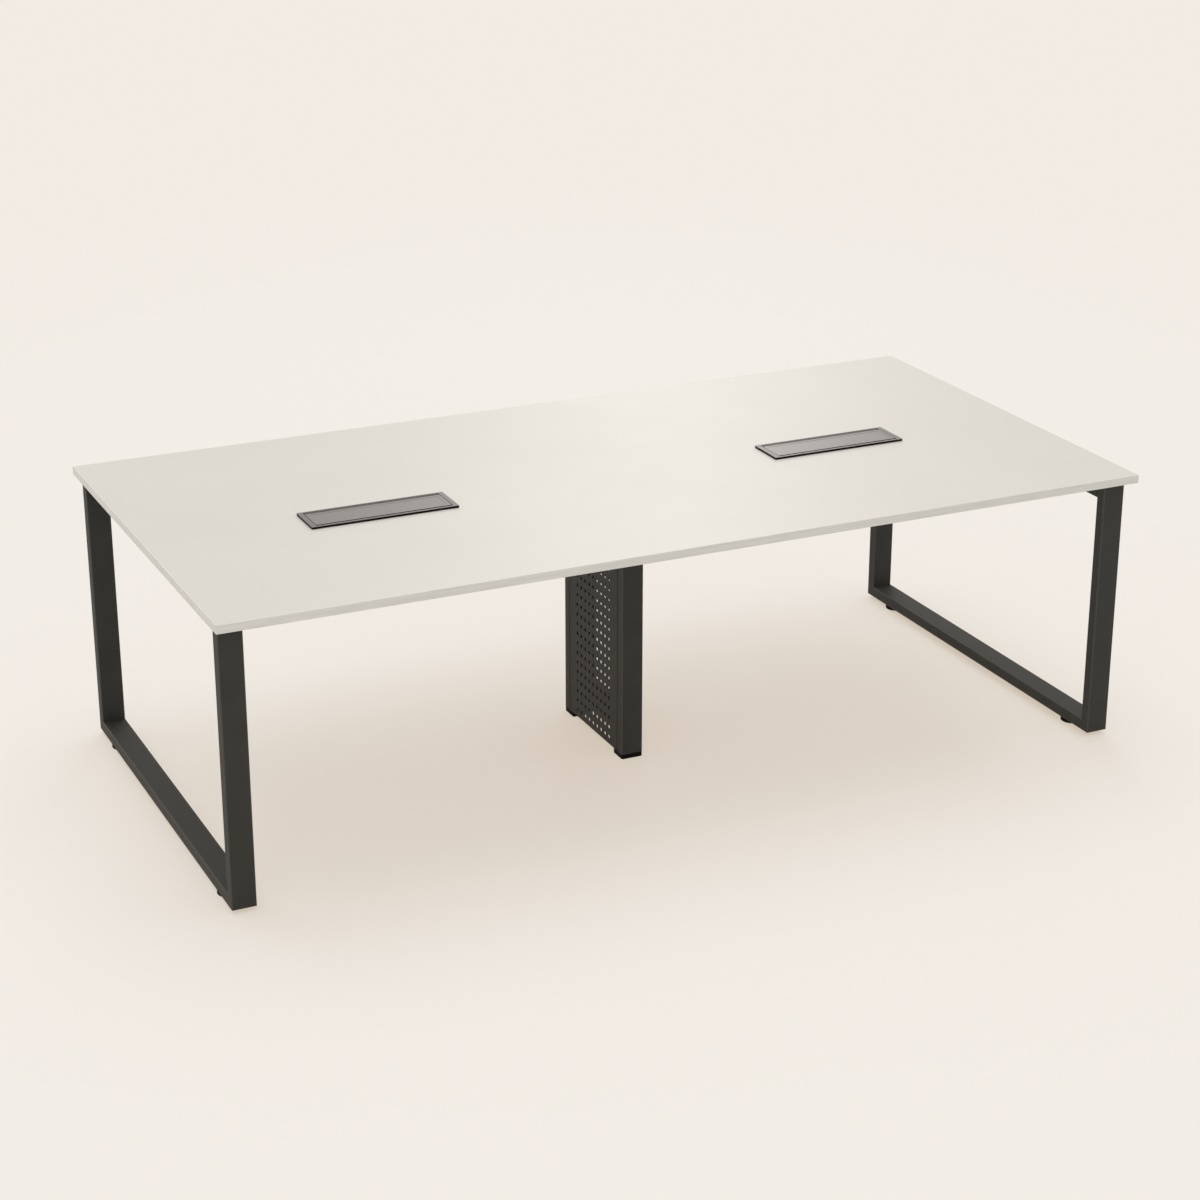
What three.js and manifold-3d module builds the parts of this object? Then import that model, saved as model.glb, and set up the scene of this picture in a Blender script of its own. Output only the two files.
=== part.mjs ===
// Conference table: a laminated top on two closed steel end frames, two beams under the top,
// a perforated cable column in the middle and two flip-lid cable boxes let into the top.
// Millimetres, +Z up. X runs along the table, Y across it from the front to the rear.
// The origin is on the floor under the middle of the table.

import * as THREE from "three";
import { mergeGeometries, mergeVertices } from "three/addons/utils/BufferGeometryUtils.js";
import Module from "manifold-3d";

const wasm = await Module();
wasm.setup();

// Table top
const TOP_LENGTH = 2400;
const TOP_WIDTH = 1200;
const TOP_HEIGHT = 720; // floor to the upper face
const TOP_THICKNESS = 21; // board with laminate on both faces
const EDGE_BAND = 2;

// End frames of rectangular tube: uprights mitred to a bottom rail, with a top rail between them
const TUBE_WIDE = 60; // along the table
const TUBE_THIN = 30; // in the plane of the frame
const TOP_RAIL_WIDE = 38; // along the table, from the inner face of the uprights
const TOP_RAIL_DEEP = 50;
const TUBE_WALL = 2;
const TUBE_RADIUS = 3;
const FRAME_END_INSET = 12; // from the end of the top
const FRAME_SIDE_INSET = 40; // from the long edge of the top
const FRAME_LIFT = 10; // floor to the underside of the bottom rail
const MITRE_GAP = 0.3;

// Levelling glides under the bottom rails
const GLIDE_FROM_CORNER = 112; // from the outer face of the frame's upright
const GLIDE_RADIUS = 29;
const GLIDE_HEIGHT = 8.5;
const GLIDE_EDGE = 3; // height of the straight rim
const GLIDE_CHAMFER = 3;
const STEM_RADIUS = 4;
const STEM_HEADROOM = 4; // from the end of the stem to the roof of the bottom rail
const STEM_SEAT = 5; // depth of the socket in the pad
const INSERT_RADIUS = 6.5;
const INSERT_FLANGE_RADIUS = 10;
const INSERT_FLANGE = 1.2;
const INSERT_LENGTH = 14;
const TURNING_CLEARANCE = 0.4; // between round pieces that turn or slide in each other
const PAD_GAP = 0.3; // under a foot that is wound right in

// Beams under the top
const BEAM_WIDTH = 25;
const BEAM_HEIGHT = 50;
const BEAM_WALL = 2;
const BEAM_RADIUS = 2;
const END_PLATE = 4;
const END_PLATE_TAB = 36; // beyond the side of the beam, for the bolt
const END_PLATE_HEIGHT = 46;
const BOLT_RADIUS = 4;
const BOLT_HEAD_RADIUS = 7.5;
const BOLT_HEAD = 5.3;
const BOLT_LENGTH = 20;
const BOLT_CLEARANCE = 0.4;
const BOLT_HEAD_GAP = 0.3;

// Cable column
const COLUMN_WIDTH = 58; // along the table
const COLUMN_DEPTH = 350; // across the table
const POST_DEPTH = 52;
const POST_WALL = 2;
const POST_RADIUS = 5;
const POST_GROOVE_FROM_FACE = 29; // from the outer face to the middle of the shadow groove
const POST_GROOVE = 3;
const POST_GROOVE_DEPTH = 2;
const PANEL_SHEET = 2;
const PANEL_LAP = 12; // how far a side panel lies in the rebate of a post
const PANEL_GAP = 0.3;
const HOLE_PITCH_ACROSS = 24;
const HOLE_PITCH_UP = 27;
const HOLE_RADIUS = 6;
const HOLE_SIDES = 4;
const HOLE_MARGIN_SIDE = 38; // from the panel's upright edge to the first row of hole centres
const HOLE_MARGIN_END = 20; // from the panel's lower and upper edge
const CAP_PLATE = 4; // between post and beam
const TIE_LIFT = 48; // floor to the lower tie, a flat bar on edge between the posts
const TIE_SHEET = 3;
const TIE_DEPTH = 80;
const FOOT_CAP = 5;
const FOOT_SPIGOT = 14;
const FOOT_SPIGOT_GAP = 0.3;
const FOOT_PAD = 7.7;
const FOOT_RADIUS = 5;
const FOOT_STEM_RISE = 26; // length of stem above its pad

// Flip-lid cable boxes
const BOX_FROM_MIDDLE = 622; // middle of the table to the middle of a box
const BOX_SET_FORWARD = 52; // from the centre line to the middle of a box
const BOX_LENGTH = 375;
const BOX_WIDTH = 112;
const BEZEL_RISE = 6; // above the top
const BEZEL_FRONT = 9;
const BEZEL_REAR = 6;
const BEZEL_END = 14;
const SKIRT_WALL = 2;
const SKIRT_DEPTH = 22;
const CUTOUT_CLEARANCE = 1;
const LID_THICKNESS = 4;
const LID_FRONT_GAP = 3; // room for the hinge edge to swing through
const LID_END_GAP = 0.8;
const LID_REAR_GAP = 0.7;
const LID_OVERHANG = 4; // from the hinge axis to the front edge of the lid
const HINGE_DEPTH = 5; // from the upper face of the lid down to the hinge axis
const EAR_WIDTH = 8;
const EAR_REACH = 4; // from the hinge axis to the sides of the ear
const PIN_RADIUS = 2;
const PIN_CLEARANCE = 0.3;
const LEDGE_WIDTH = 4; // lid rests beside the rear corners of the opening
const LEDGE_LENGTH = 24;
const LEDGE_THICKNESS = 2;
const LEDGE_GAP = 0.3;
const BRUSH_BACK = 3;
const BRUSH_BACK_HEIGHT = 8;
const BRISTLE_LENGTH = 8;
const BRISTLE_PITCH = 2.2;
const BRISTLE_GAP = 0.4; // between bristle tufts inside the backing
const BRISTLE_THICKNESS = 1.6;
const BRISTLE_DEPTH = 1; // from the upper face of the bezel down to the backing
const BRISTLE_SINK = 0.5; // from the backing's upper face down to the bristles
const TRAY_LENGTH = 400;
const TRAY_DEPTH = 60;
const TRAY_SHEET = 1.5;
const TRAY_CLEARANCE = 4; // outside the skirt of the bezel
const TRAY_FLANGE = 15;

// Number of straight pieces in a round
const ROUND = 20;
const SMALL_ROUND = 12;
const CORNER_STEPS = 2;

// Corners closer than this are one corner
const MERGE_DISTANCE = 1e-4;

// Heights and places that follow from the sizes above
const topUnderside = TOP_HEIGHT - TOP_THICKNESS;
const frameFront = -TOP_WIDTH / 2 + FRAME_SIDE_INSET;
const frameDepth = TOP_WIDTH - 2 * FRAME_SIDE_INSET;
const frameHeight = topUnderside - FRAME_LIFT;
const frameOuter = TOP_LENGTH / 2 - FRAME_END_INSET;
const frameMiddle = frameOuter - TUBE_WIDE / 2;
const frameInner = frameOuter - TUBE_WIDE;
const beamUnderside = topUnderside - BEAM_HEIGHT;
const beamMiddle = COLUMN_DEPTH / 2 - POST_DEPTH / 2;
const postBottom = FOOT_PAD + PAD_GAP + FOOT_CAP;
const postTop = beamUnderside - CAP_PLATE;
const panelWidth = COLUMN_DEPTH - 2 * (POST_DEPTH - PANEL_LAP) - 2 * PANEL_GAP;
const bezelTop = TOP_HEIGHT + BEZEL_RISE;
const openingLength = BOX_LENGTH - 2 * BEZEL_END;
const openingFront = -BOX_WIDTH / 2 + BEZEL_FRONT;
const openingRear = BOX_WIDTH / 2 - BEZEL_REAR;
const lidFront = openingFront + LID_FRONT_GAP;
const lidRear = openingRear - BRUSH_BACK - BRISTLE_LENGTH - LID_REAR_GAP;
const lidLength = openingLength - 2 * LID_END_GAP;
const hingeAcross = lidFront + LID_OVERHANG;
const hingeHeight = bezelTop - HINGE_DEPTH;

// Finishes
const finish = (color, roughness, metalness) => ({ color, roughness, metalness });
const LAMINATE = finish(0xe4e1d9, 0.45, 0);
const EDGING = finish(0xd0cdc4, 0.5, 0);
const POWDER_COAT = finish(0x3a3832, 0.55, 0.1);
const ALUMINIUM = finish(0x9d9b97, 0.4, 0.8);
const BLACK_PLASTIC = finish(0x121212, 0.6, 0);
const BRISTLE = finish(0x1c1c1c, 0.9, 0);
const ZINC = finish(0xb4b4b0, 0.35, 0.9);

const table = new THREE.Group();

function add(name, geometry, look, parent = table) {
  const mesh = new THREE.Mesh(geometry, new THREE.MeshStandardMaterial(look));
  mesh.name = name;
  parent.add(mesh);
  return mesh;
}

// Outlines and solids

function roundedRectangle(width, depth, radius) {
  const path = new THREE.Shape();
  const x = width / 2;
  const y = depth / 2;
  path.moveTo(-x + radius, -y);
  path.lineTo(x - radius, -y);
  path.absarc(x - radius, -y + radius, radius, -Math.PI / 2, 0);
  path.lineTo(x, y - radius);
  path.absarc(x - radius, y - radius, radius, 0, Math.PI / 2);
  path.lineTo(-x + radius, y);
  path.absarc(-x + radius, y - radius, radius, Math.PI / 2, Math.PI);
  path.lineTo(-x, -y + radius);
  path.absarc(-x + radius, -y + radius, radius, Math.PI, Math.PI * 1.5);
  return path;
}

function outline(points) {
  return new THREE.Shape(points.map(([x, y]) => new THREE.Vector2(x, y)));
}

function extrude(shape, depth) {
  const settings = { depth, bevelEnabled: false, curveSegments: CORNER_STEPS };
  return new THREE.ExtrudeGeometry(shape, settings);
}

function box(x0, y0, z0, x1, y1, z1) {
  const solid = new THREE.BoxGeometry(x1 - x0, y1 - y0, z1 - z0);
  return solid.translate((x0 + x1) / 2, (y0 + y1) / 2, (z0 + z1) / 2);
}

// A turned piece about the Z axis, from [radius, height] points
function turned(points, sides) {
  const profile = points.map(([radius, height]) => new THREE.Vector2(radius, height));
  return new THREE.LatheGeometry(profile, sides).rotateX(Math.PI / 2);
}

function rod(radius, from, to, sides = SMALL_ROUND) {
  return turned([[0, from], [radius, from], [radius, to], [0, to]], sides);
}

// Rods that lie along the table
function crossRod(radius, from, to, sides = SMALL_ROUND) {
  return rod(radius, from, to, sides).rotateY(Math.PI / 2);
}

function toSolid(geometry) {
  const bare = new THREE.BufferGeometry();
  bare.setAttribute("position", geometry.getAttribute("position"));
  bare.setIndex(geometry.getIndex());
  const merged = mergeVertices(bare, MERGE_DISTANCE);
  const vertProperties = merged.getAttribute("position").array;
  const triVerts = new Uint32Array(merged.getIndex().array);
  return new wasm.Manifold(new wasm.Mesh({ numProp: 3, vertProperties, triVerts }));
}

function toGeometry(solid) {
  const mesh = solid.getMesh();
  const geometry = new THREE.BufferGeometry();
  geometry.setAttribute("position", new THREE.BufferAttribute(mesh.vertProperties, 3));
  geometry.setIndex(new THREE.BufferAttribute(mesh.triVerts, 1));
  geometry.computeVertexNormals();
  return geometry;
}

function cut(geometry, ...tools) {
  const solid = tools.reduce((rest, tool) => rest.subtract(toSolid(tool)), toSolid(geometry));
  return toGeometry(solid);
}

function join(geometry, ...others) {
  const solid = others.reduce((sum, other) => sum.add(toSolid(other)), toSolid(geometry));
  return toGeometry(solid);
}

// A tube along Z from z = 0, with rounded corners outside and a plain bore
function tube(width, depth, wall, radius, length) {
  const bar = extrude(roundedRectangle(width, depth, radius), length);
  const x = width / 2 - wall;
  const y = depth / 2 - wall;
  return cut(bar, box(-x, -y, -length, x, y, 2 * length));
}

// A tube along Z whose outer face is at -Y; its lower end is cut back at 45 degrees, its upper end if asked
function mitredTube(length, upperMitre) {
  const bar = tube(TUBE_WIDE, TUBE_THIN, TUBE_WALL, TUBE_RADIUS, length);
  const place = bar.getAttribute("position");
  for (let i = 0; i < place.count; i++) {
    const cutBack = place.getY(i) + TUBE_THIN / 2 + MITRE_GAP / Math.SQRT2;
    const upper = upperMitre ? length - cutBack : length;
    place.setZ(i, place.getZ(i) > length / 2 ? upper : cutBack);
  }
  return bar;
}

// The table top and its edging

function boxCutout(side) {
  const margin = SKIRT_WALL + CUTOUT_CLEARANCE;
  const middle = side * BOX_FROM_MIDDLE;
  const half = openingLength / 2 + margin;
  const front = openingFront - margin - BOX_SET_FORWARD;
  const rear = openingRear + margin - BOX_SET_FORWARD;
  return box(middle - half, front, 0, middle + half, rear, 2 * TOP_HEIGHT);
}

// The board has a plain field between the cable boxes and a field with a cut-out at each end
function makeTop() {
  const x = TOP_LENGTH / 2;
  const y = TOP_WIDTH / 2;
  const innerX = x - EDGE_BAND;
  const innerY = y - EDGE_BAND;
  const field = BOX_FROM_MIDDLE - BOX_LENGTH;
  const board = join(
    box(-field, -innerY, topUnderside, field, innerY, TOP_HEIGHT),
    box(-innerX, -innerY, topUnderside, -field, innerY, TOP_HEIGHT),
    box(field, -innerY, topUnderside, innerX, innerY, TOP_HEIGHT),
  );
  add("table_top", cut(board, boxCutout(-1), boxCutout(1)), LAMINATE);
  add("front_edge_band", box(-x, -y, topUnderside, x, -innerY, TOP_HEIGHT), EDGING);
  add("rear_edge_band", box(-x, innerY, topUnderside, x, y, TOP_HEIGHT), EDGING);
  add("left_edge_band", box(-x, -innerY, topUnderside, -innerX, innerY, TOP_HEIGHT), EDGING);
  add("right_edge_band", box(innerX, -innerY, topUnderside, x, innerY, TOP_HEIGHT), EDGING);
}

// End frames, with their glides

const glidePlaces = [
  ["front", frameFront + GLIDE_FROM_CORNER],
  ["rear", -frameFront - GLIDE_FROM_CORNER],
];
const boltHeight = topUnderside - TOP_RAIL_DEEP / 2;
const boltAcross = beamMiddle + BEAM_WIDTH / 2 + END_PLATE_TAB / 2;

function bottomRail(x) {
  const rail = mitredTube(frameDepth, true);
  rail.rotateX(Math.PI / 2).translate(x, -frameFront, FRAME_LIFT + TUBE_THIN / 2);
  const bores = glidePlaces.map(([, y]) => {
    const radius = INSERT_RADIUS + TURNING_CLEARANCE;
    return rod(radius, FRAME_LIFT - TUBE_WALL, FRAME_LIFT + 2 * TUBE_WALL).translate(x, y, 0);
  });
  return cut(rail, ...bores);
}

function topRail(side) {
  const ends = TUBE_THIN + MITRE_GAP;
  const length = frameDepth - 2 * ends;
  const rail = tube(TOP_RAIL_WIDE, TOP_RAIL_DEEP, TUBE_WALL, TUBE_RADIUS, length);
  const x = side * (frameInner + TOP_RAIL_WIDE / 2);
  rail.rotateX(-Math.PI / 2).translate(x, frameFront + ends, topUnderside - TOP_RAIL_DEEP / 2);
  const bores = [-1, 1].map((across) => {
    const bore = crossRod(BOLT_RADIUS + BOLT_CLEARANCE, -2 * TUBE_WALL, 2 * TUBE_WALL);
    return bore.translate(side * frameInner, across * boltAcross, boltHeight);
  });
  return cut(rail, ...bores);
}

function makeFrame(name, side) {
  const x = side * frameMiddle;
  const front = add(`${name}_frame_front_post`, mitredTube(frameHeight, false), POWDER_COAT);
  front.position.set(x, frameFront + TUBE_THIN / 2, FRAME_LIFT);
  const rear = add(`${name}_frame_rear_post`, mitredTube(frameHeight, false), POWDER_COAT);
  rear.position.set(x, -frameFront - TUBE_THIN / 2, FRAME_LIFT);
  rear.rotation.z = Math.PI;
  add(`${name}_frame_top_rail`, topRail(side), POWDER_COAT);
  add(`${name}_frame_bottom_rail`, bottomRail(x), POWDER_COAT);
  for (const [place, y] of glidePlaces) {
    makeGlide(`${name}_${place}`, x, y);
  }
}

function makeGlide(name, x, y) {
  const glide = new THREE.Group();
  glide.position.set(x, y, 0);
  table.add(glide);
  const seat = GLIDE_HEIGHT - STEM_SEAT;
  const socket = STEM_RADIUS + TURNING_CLEARANCE;
  const pad = [
    [0, 0],
    [GLIDE_RADIUS, 0],
    [GLIDE_RADIUS, GLIDE_EDGE],
    [GLIDE_RADIUS - GLIDE_CHAMFER, GLIDE_HEIGHT],
    [socket, GLIDE_HEIGHT],
    [socket, seat],
    [0, seat],
  ];
  add(`${name}_glide_pad`, turned(pad, ROUND), BLACK_PLASTIC, glide);
  const stemTop = FRAME_LIFT + TUBE_THIN - TUBE_WALL - STEM_HEADROOM;
  const stem = rod(STEM_RADIUS, seat + PAD_GAP, stemTop);
  add(`${name}_glide_stem`, stem, ZINC, glide);
  const bore = STEM_RADIUS + TURNING_CLEARANCE;
  const insert = [
    [bore, FRAME_LIFT - INSERT_FLANGE],
    [INSERT_FLANGE_RADIUS, FRAME_LIFT - INSERT_FLANGE],
    [INSERT_FLANGE_RADIUS, FRAME_LIFT],
    [INSERT_RADIUS, FRAME_LIFT],
    [INSERT_RADIUS, FRAME_LIFT + INSERT_LENGTH],
    [bore, FRAME_LIFT + INSERT_LENGTH],
    [bore, FRAME_LIFT - INSERT_FLANGE],
  ];
  add(`${name}_glide_insert`, turned(insert, SMALL_ROUND), ZINC, glide);
}

// Beams, with the end plates that bolt them to the frames

function makeBeam(name, across) {
  const y = across * beamMiddle;
  const length = 2 * (frameInner - END_PLATE);
  const beam = tube(BEAM_HEIGHT, BEAM_WIDTH, BEAM_WALL, BEAM_RADIUS, length).rotateY(Math.PI / 2);
  add(`${name}_beam`, beam, POWDER_COAT).position.set(-length / 2, y, topUnderside - BEAM_HEIGHT / 2);
  makeEndPlate(`left_${name}`, -1, across);
  makeEndPlate(`right_${name}`, 1, across);
}

function makeEndPlate(name, side, across) {
  const reach = beamMiddle + BEAM_WIDTH / 2;
  const nearX = side * (frameInner - END_PLATE);
  const farX = side * frameInner;
  const sides = [across * (reach - BEAM_WIDTH), across * (reach + END_PLATE_TAB)];
  const plate = box(
    Math.min(nearX, farX),
    Math.min(...sides),
    topUnderside - END_PLATE_HEIGHT,
    Math.max(nearX, farX),
    Math.max(...sides),
    topUnderside,
  );
  const bore = crossRod(BOLT_RADIUS + BOLT_CLEARANCE, -2 * END_PLATE, 2 * END_PLATE);
  bore.translate(farX, across * boltAcross, boltHeight);
  add(`${name}_end_plate`, cut(plate, bore), POWDER_COAT);
  const bolt = [
    [0, -BOLT_HEAD],
    [BOLT_HEAD_RADIUS, -BOLT_HEAD],
    [BOLT_HEAD_RADIUS, 0],
    [BOLT_RADIUS, 0],
    [BOLT_RADIUS, BOLT_LENGTH],
    [0, BOLT_LENGTH],
  ];
  const mesh = add(`${name}_bolt`, turned(bolt, SMALL_ROUND), ZINC);
  mesh.rotation.y = (side * Math.PI) / 2;
  mesh.position.set(nearX - side * BOLT_HEAD_GAP, across * boltAcross, boltHeight);
}

// Cable column

// A post with its outer face at -Y: rebates for the side panels at the inner corners
function columnPost(height) {
  const x = COLUMN_WIDTH / 2;
  const y = POST_DEPTH / 2;
  const rebateX = x - PANEL_SHEET - PANEL_GAP;
  const rebateY = y - PANEL_LAP;
  const grooveY = -y + POST_GROOVE_FROM_FACE;
  const groove = POST_GROOVE / 2;
  const grooveX = x - POST_GROOVE_DEPTH;
  const sidePoints = [
    [x, grooveY - groove],
    [grooveX, grooveY],
    [x, grooveY + groove],
    [x, rebateY],
    [rebateX, rebateY],
    [rebateX, y],
  ];
  const section = new THREE.Shape();
  section.moveTo(-x + POST_RADIUS, -y);
  section.lineTo(x - POST_RADIUS, -y);
  section.absarc(x - POST_RADIUS, -y + POST_RADIUS, POST_RADIUS, -Math.PI / 2, 0);
  for (const [px, py] of sidePoints) {
    section.lineTo(px, py);
  }
  for (const [px, py] of sidePoints.reverse()) {
    section.lineTo(-px, py);
  }
  section.absarc(-x + POST_RADIUS, -y + POST_RADIUS, POST_RADIUS, Math.PI, Math.PI * 1.5);
  const boreX = rebateX - POST_WALL;
  const boreY = y - POST_WALL;
  return cut(extrude(section, height), box(-boreX, -boreY, -height, boreX, boreY, 2 * height));
}

// A flat sheet that faces along the table, with its outer face at x = 0 and its inner face at PANEL_SHEET
function perforatedPanel() {
  const height = postTop - postBottom;
  const across = Math.floor((panelWidth - 2 * HOLE_MARGIN_SIDE) / HOLE_PITCH_ACROSS) + 1;
  const rows = Math.floor((height - 2 * HOLE_MARGIN_END) / HOLE_PITCH_UP) + 1;
  const holes = [];
  for (let column = 0; column < across; column++) {
    for (let row = 0; row < rows; row++) {
      const hole = crossRod(HOLE_RADIUS, -PANEL_SHEET, 2 * PANEL_SHEET, HOLE_SIDES);
      const y = (column - (across - 1) / 2) * HOLE_PITCH_ACROSS;
      holes.push(hole.translate(0, y, HOLE_MARGIN_END + row * HOLE_PITCH_UP));
    }
  }
  const sheet = box(0, -panelWidth / 2, 0, PANEL_SHEET, panelWidth / 2, height);
  return cut(sheet, mergeGeometries(holes));
}

function makeColumn() {
  const height = postTop - postBottom;
  for (const [name, across] of [["front", -1], ["rear", 1]]) {
    const turn = across > 0 ? Math.PI : 0;
    const y = across * beamMiddle;
    const post = add(`column_${name}_post`, columnPost(height), POWDER_COAT);
    post.position.set(0, y, postBottom);
    post.rotation.z = turn;
    const x = COLUMN_WIDTH / 2;
    const half = POST_DEPTH / 2;
    const plate = box(-x, y - half, postTop, x, y + half, beamUnderside);
    add(`column_${name}_cap_plate`, plate, POWDER_COAT);
    makeColumnFoot(name, y);
  }
  const inner = COLUMN_WIDTH / 2 - PANEL_SHEET;
  const left = add("column_left_panel", perforatedPanel(), POWDER_COAT);
  left.position.set(-COLUMN_WIDTH / 2, 0, postBottom);
  const right = add("column_right_panel", perforatedPanel(), POWDER_COAT);
  right.position.set(inner, 0, postBottom);
  const reach = COLUMN_DEPTH / 2 - POST_DEPTH;
  const tie = box(-TIE_SHEET / 2, -reach, TIE_LIFT, TIE_SHEET / 2, reach, TIE_LIFT + TIE_DEPTH);
  add("column_lower_tie", tie, POWDER_COAT);
}

// A plastic end cap in the post, and a levelling pad under it on a threaded stem
function makeColumnFoot(name, y) {
  const foot = new THREE.Group();
  foot.position.set(0, y, 0);
  table.add(foot);
  const plan = roundedRectangle(COLUMN_WIDTH, POST_DEPTH, FOOT_RADIUS);
  const flange = extrude(plan, FOOT_CAP).translate(0, 0, postBottom - FOOT_CAP);
  const inset = PANEL_SHEET + PANEL_GAP + POST_WALL + FOOT_SPIGOT_GAP;
  const spigotX = COLUMN_WIDTH / 2 - inset;
  const spigotY = POST_DEPTH / 2 - POST_WALL - FOOT_SPIGOT_GAP;
  const spigotTop = postBottom + FOOT_SPIGOT;
  const spigot = box(-spigotX, -spigotY, postBottom - FOOT_CAP / 2, spigotX, spigotY, spigotTop);
  const bore = rod(STEM_RADIUS + TURNING_CLEARANCE, 0, spigotTop + FOOT_SPIGOT);
  add(`column_${name}_foot_cap`, cut(join(flange, spigot), bore), BLACK_PLASTIC, foot);
  const seat = FOOT_PAD - STEM_SEAT;
  const socket = rod(STEM_RADIUS + TURNING_CLEARANCE, seat, 2 * FOOT_PAD);
  add(`column_${name}_foot_pad`, cut(extrude(plan, FOOT_PAD), socket), BLACK_PLASTIC, foot);
  const stem = rod(STEM_RADIUS, seat + PAD_GAP, FOOT_PAD + FOOT_STEM_RISE);
  add(`column_${name}_foot_stem`, stem, ZINC, foot);
}

// Flip-lid cable boxes

function bezel() {
  const halfLength = BOX_LENGTH / 2;
  const halfOpening = openingLength / 2;
  const halfSkirt = halfOpening + SKIRT_WALL;
  const skirtFront = openingFront - SKIRT_WALL;
  const skirtRear = openingRear + SKIRT_WALL;
  const skirtFoot = TOP_HEIGHT - SKIRT_DEPTH;
  const flange = box(-halfLength, -BOX_WIDTH / 2, TOP_HEIGHT, halfLength, BOX_WIDTH / 2, bezelTop);
  const skirt = box(-halfSkirt, skirtFront, skirtFoot, halfSkirt, skirtRear, TOP_HEIGHT + BEZEL_RISE / 2);
  const opening = box(-halfOpening, openingFront, 0, halfOpening, openingRear, 2 * bezelTop);
  const bore = crossRod(PIN_RADIUS + PIN_CLEARANCE, -halfLength, halfLength);
  const ring = cut(join(flange, skirt), opening, bore.translate(0, hingeAcross, hingeHeight));
  return join(ring, restLedge(-1), restLedge(1));
}

// A ledge on the end wall of the bezel, under a rear corner of the lid
function restLedge(side) {
  const wall = openingLength / 2 + SKIRT_WALL / 2;
  const edge = openingLength / 2 - LEDGE_WIDTH;
  const rear = openingRear - BRUSH_BACK - LEDGE_GAP;
  const top = bezelTop - LID_THICKNESS - LEDGE_GAP;
  const ends = [side * wall, side * edge];
  return box(Math.min(...ends), rear - LEDGE_LENGTH, top - LEDGE_THICKNESS, Math.max(...ends), rear, top);
}

function lid() {
  const half = lidLength / 2;
  const underside = bezelTop - LID_THICKNESS;
  const plate = box(-half, lidFront, underside, half, lidRear, bezelTop);
  const earFront = hingeAcross - EAR_REACH;
  const earRear = hingeAcross + EAR_REACH;
  const earFoot = hingeHeight - EAR_REACH;
  const earTop = bezelTop - LID_THICKNESS / 2;
  const ears = [-half, half - EAR_WIDTH].map((x) => {
    return box(x, earFront, earFoot, x + EAR_WIDTH, earRear, earTop);
  });
  const bore = crossRod(PIN_RADIUS + PIN_CLEARANCE, -BOX_LENGTH, BOX_LENGTH);
  const between = box(EAR_WIDTH - half, earFront, earFoot, half - EAR_WIDTH, earRear, bezelTop);
  const bores = toSolid(bore.translate(0, hingeAcross, hingeHeight)).subtract(toSolid(between));
  return toGeometry(toSolid(join(plate, ...ears)).subtract(bores));
}

// Backing strip with a row of bristle tufts that taper towards the lid
function brush() {
  const half = openingLength / 2 - LID_END_GAP;
  const root = openingRear - BRUSH_BACK;
  const top = bezelTop - BRISTLE_DEPTH;
  const backing = box(-half, root, top - BRUSH_BACK_HEIGHT, half, openingRear, top);
  const reach = (BRISTLE_PITCH - BRISTLE_GAP) / 2;
  const tuft = outline([
    [-reach, BRUSH_BACK / 2],
    [0, -BRISTLE_LENGTH],
    [reach, BRUSH_BACK / 2],
  ]);
  const count = Math.floor((2 * half) / BRISTLE_PITCH);
  const tufts = [];
  for (let place = 0; place < count; place++) {
    const x = (place - (count - 1) / 2) * BRISTLE_PITCH;
    const low = top - BRISTLE_SINK - BRISTLE_THICKNESS;
    tufts.push(extrude(tuft, BRISTLE_THICKNESS).translate(x, root, low));
  }
  return join(backing, mergeGeometries(tufts));
}

function cableTray() {
  const front = openingFront - SKIRT_WALL - TRAY_CLEARANCE;
  const rear = openingRear + SKIRT_WALL + TRAY_CLEARANCE;
  const outerFront = front - TRAY_SHEET;
  const outerRear = rear + TRAY_SHEET;
  const section = outline([
    [outerFront - TRAY_FLANGE, 0],
    [outerFront - TRAY_FLANGE, -TRAY_SHEET],
    [outerFront, -TRAY_SHEET],
    [outerFront, -TRAY_DEPTH],
    [outerRear, -TRAY_DEPTH],
    [outerRear, -TRAY_SHEET],
    [outerRear + TRAY_FLANGE, -TRAY_SHEET],
    [outerRear + TRAY_FLANGE, 0],
    [rear, 0],
    [rear, TRAY_SHEET - TRAY_DEPTH],
    [front, TRAY_SHEET - TRAY_DEPTH],
    [front, 0],
  ]);
  const tray = extrude(section, TRAY_LENGTH).translate(0, 0, -TRAY_LENGTH / 2);
  return tray.rotateX(Math.PI / 2).rotateZ(Math.PI / 2).translate(0, 0, topUnderside);
}

function makeBox(name, side) {
  const cableBox = new THREE.Group();
  cableBox.position.set(side * BOX_FROM_MIDDLE, -BOX_SET_FORWARD, 0);
  table.add(cableBox);
  add(`${name}_box_bezel`, bezel(), ALUMINIUM, cableBox);
  add(`${name}_box_lid`, lid(), ALUMINIUM, cableBox);
  add(`${name}_box_brush`, brush(), BRISTLE, cableBox);
  add(`${name}_box_tray`, cableTray(), POWDER_COAT, cableBox);
  const pinLength = SKIRT_WALL + LID_END_GAP + EAR_WIDTH;
  for (const [end, direction] of [["left", -1], ["right", 1]]) {
    const outer = openingLength / 2 + SKIRT_WALL;
    const pin = add(`${name}_box_${end}_pin`, crossRod(PIN_RADIUS, -pinLength, 0), ZINC, cableBox);
    pin.rotation.z = direction < 0 ? Math.PI : 0;
    pin.position.set(direction * outer, hingeAcross, hingeHeight);
  }
}

makeTop();
makeFrame("left", -1);
makeFrame("right", 1);
makeBeam("front", -1);
makeBeam("rear", 1);
makeColumn();
makeBox("left", -1);
makeBox("right", 1);

export default table;
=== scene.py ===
"""Looks of a conference table, modelled piece by piece around its fixed frame.

Metres, +Z up. X runs along the table, Y across it from the front to the rear.
"""

import math
from contextlib import contextmanager

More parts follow.
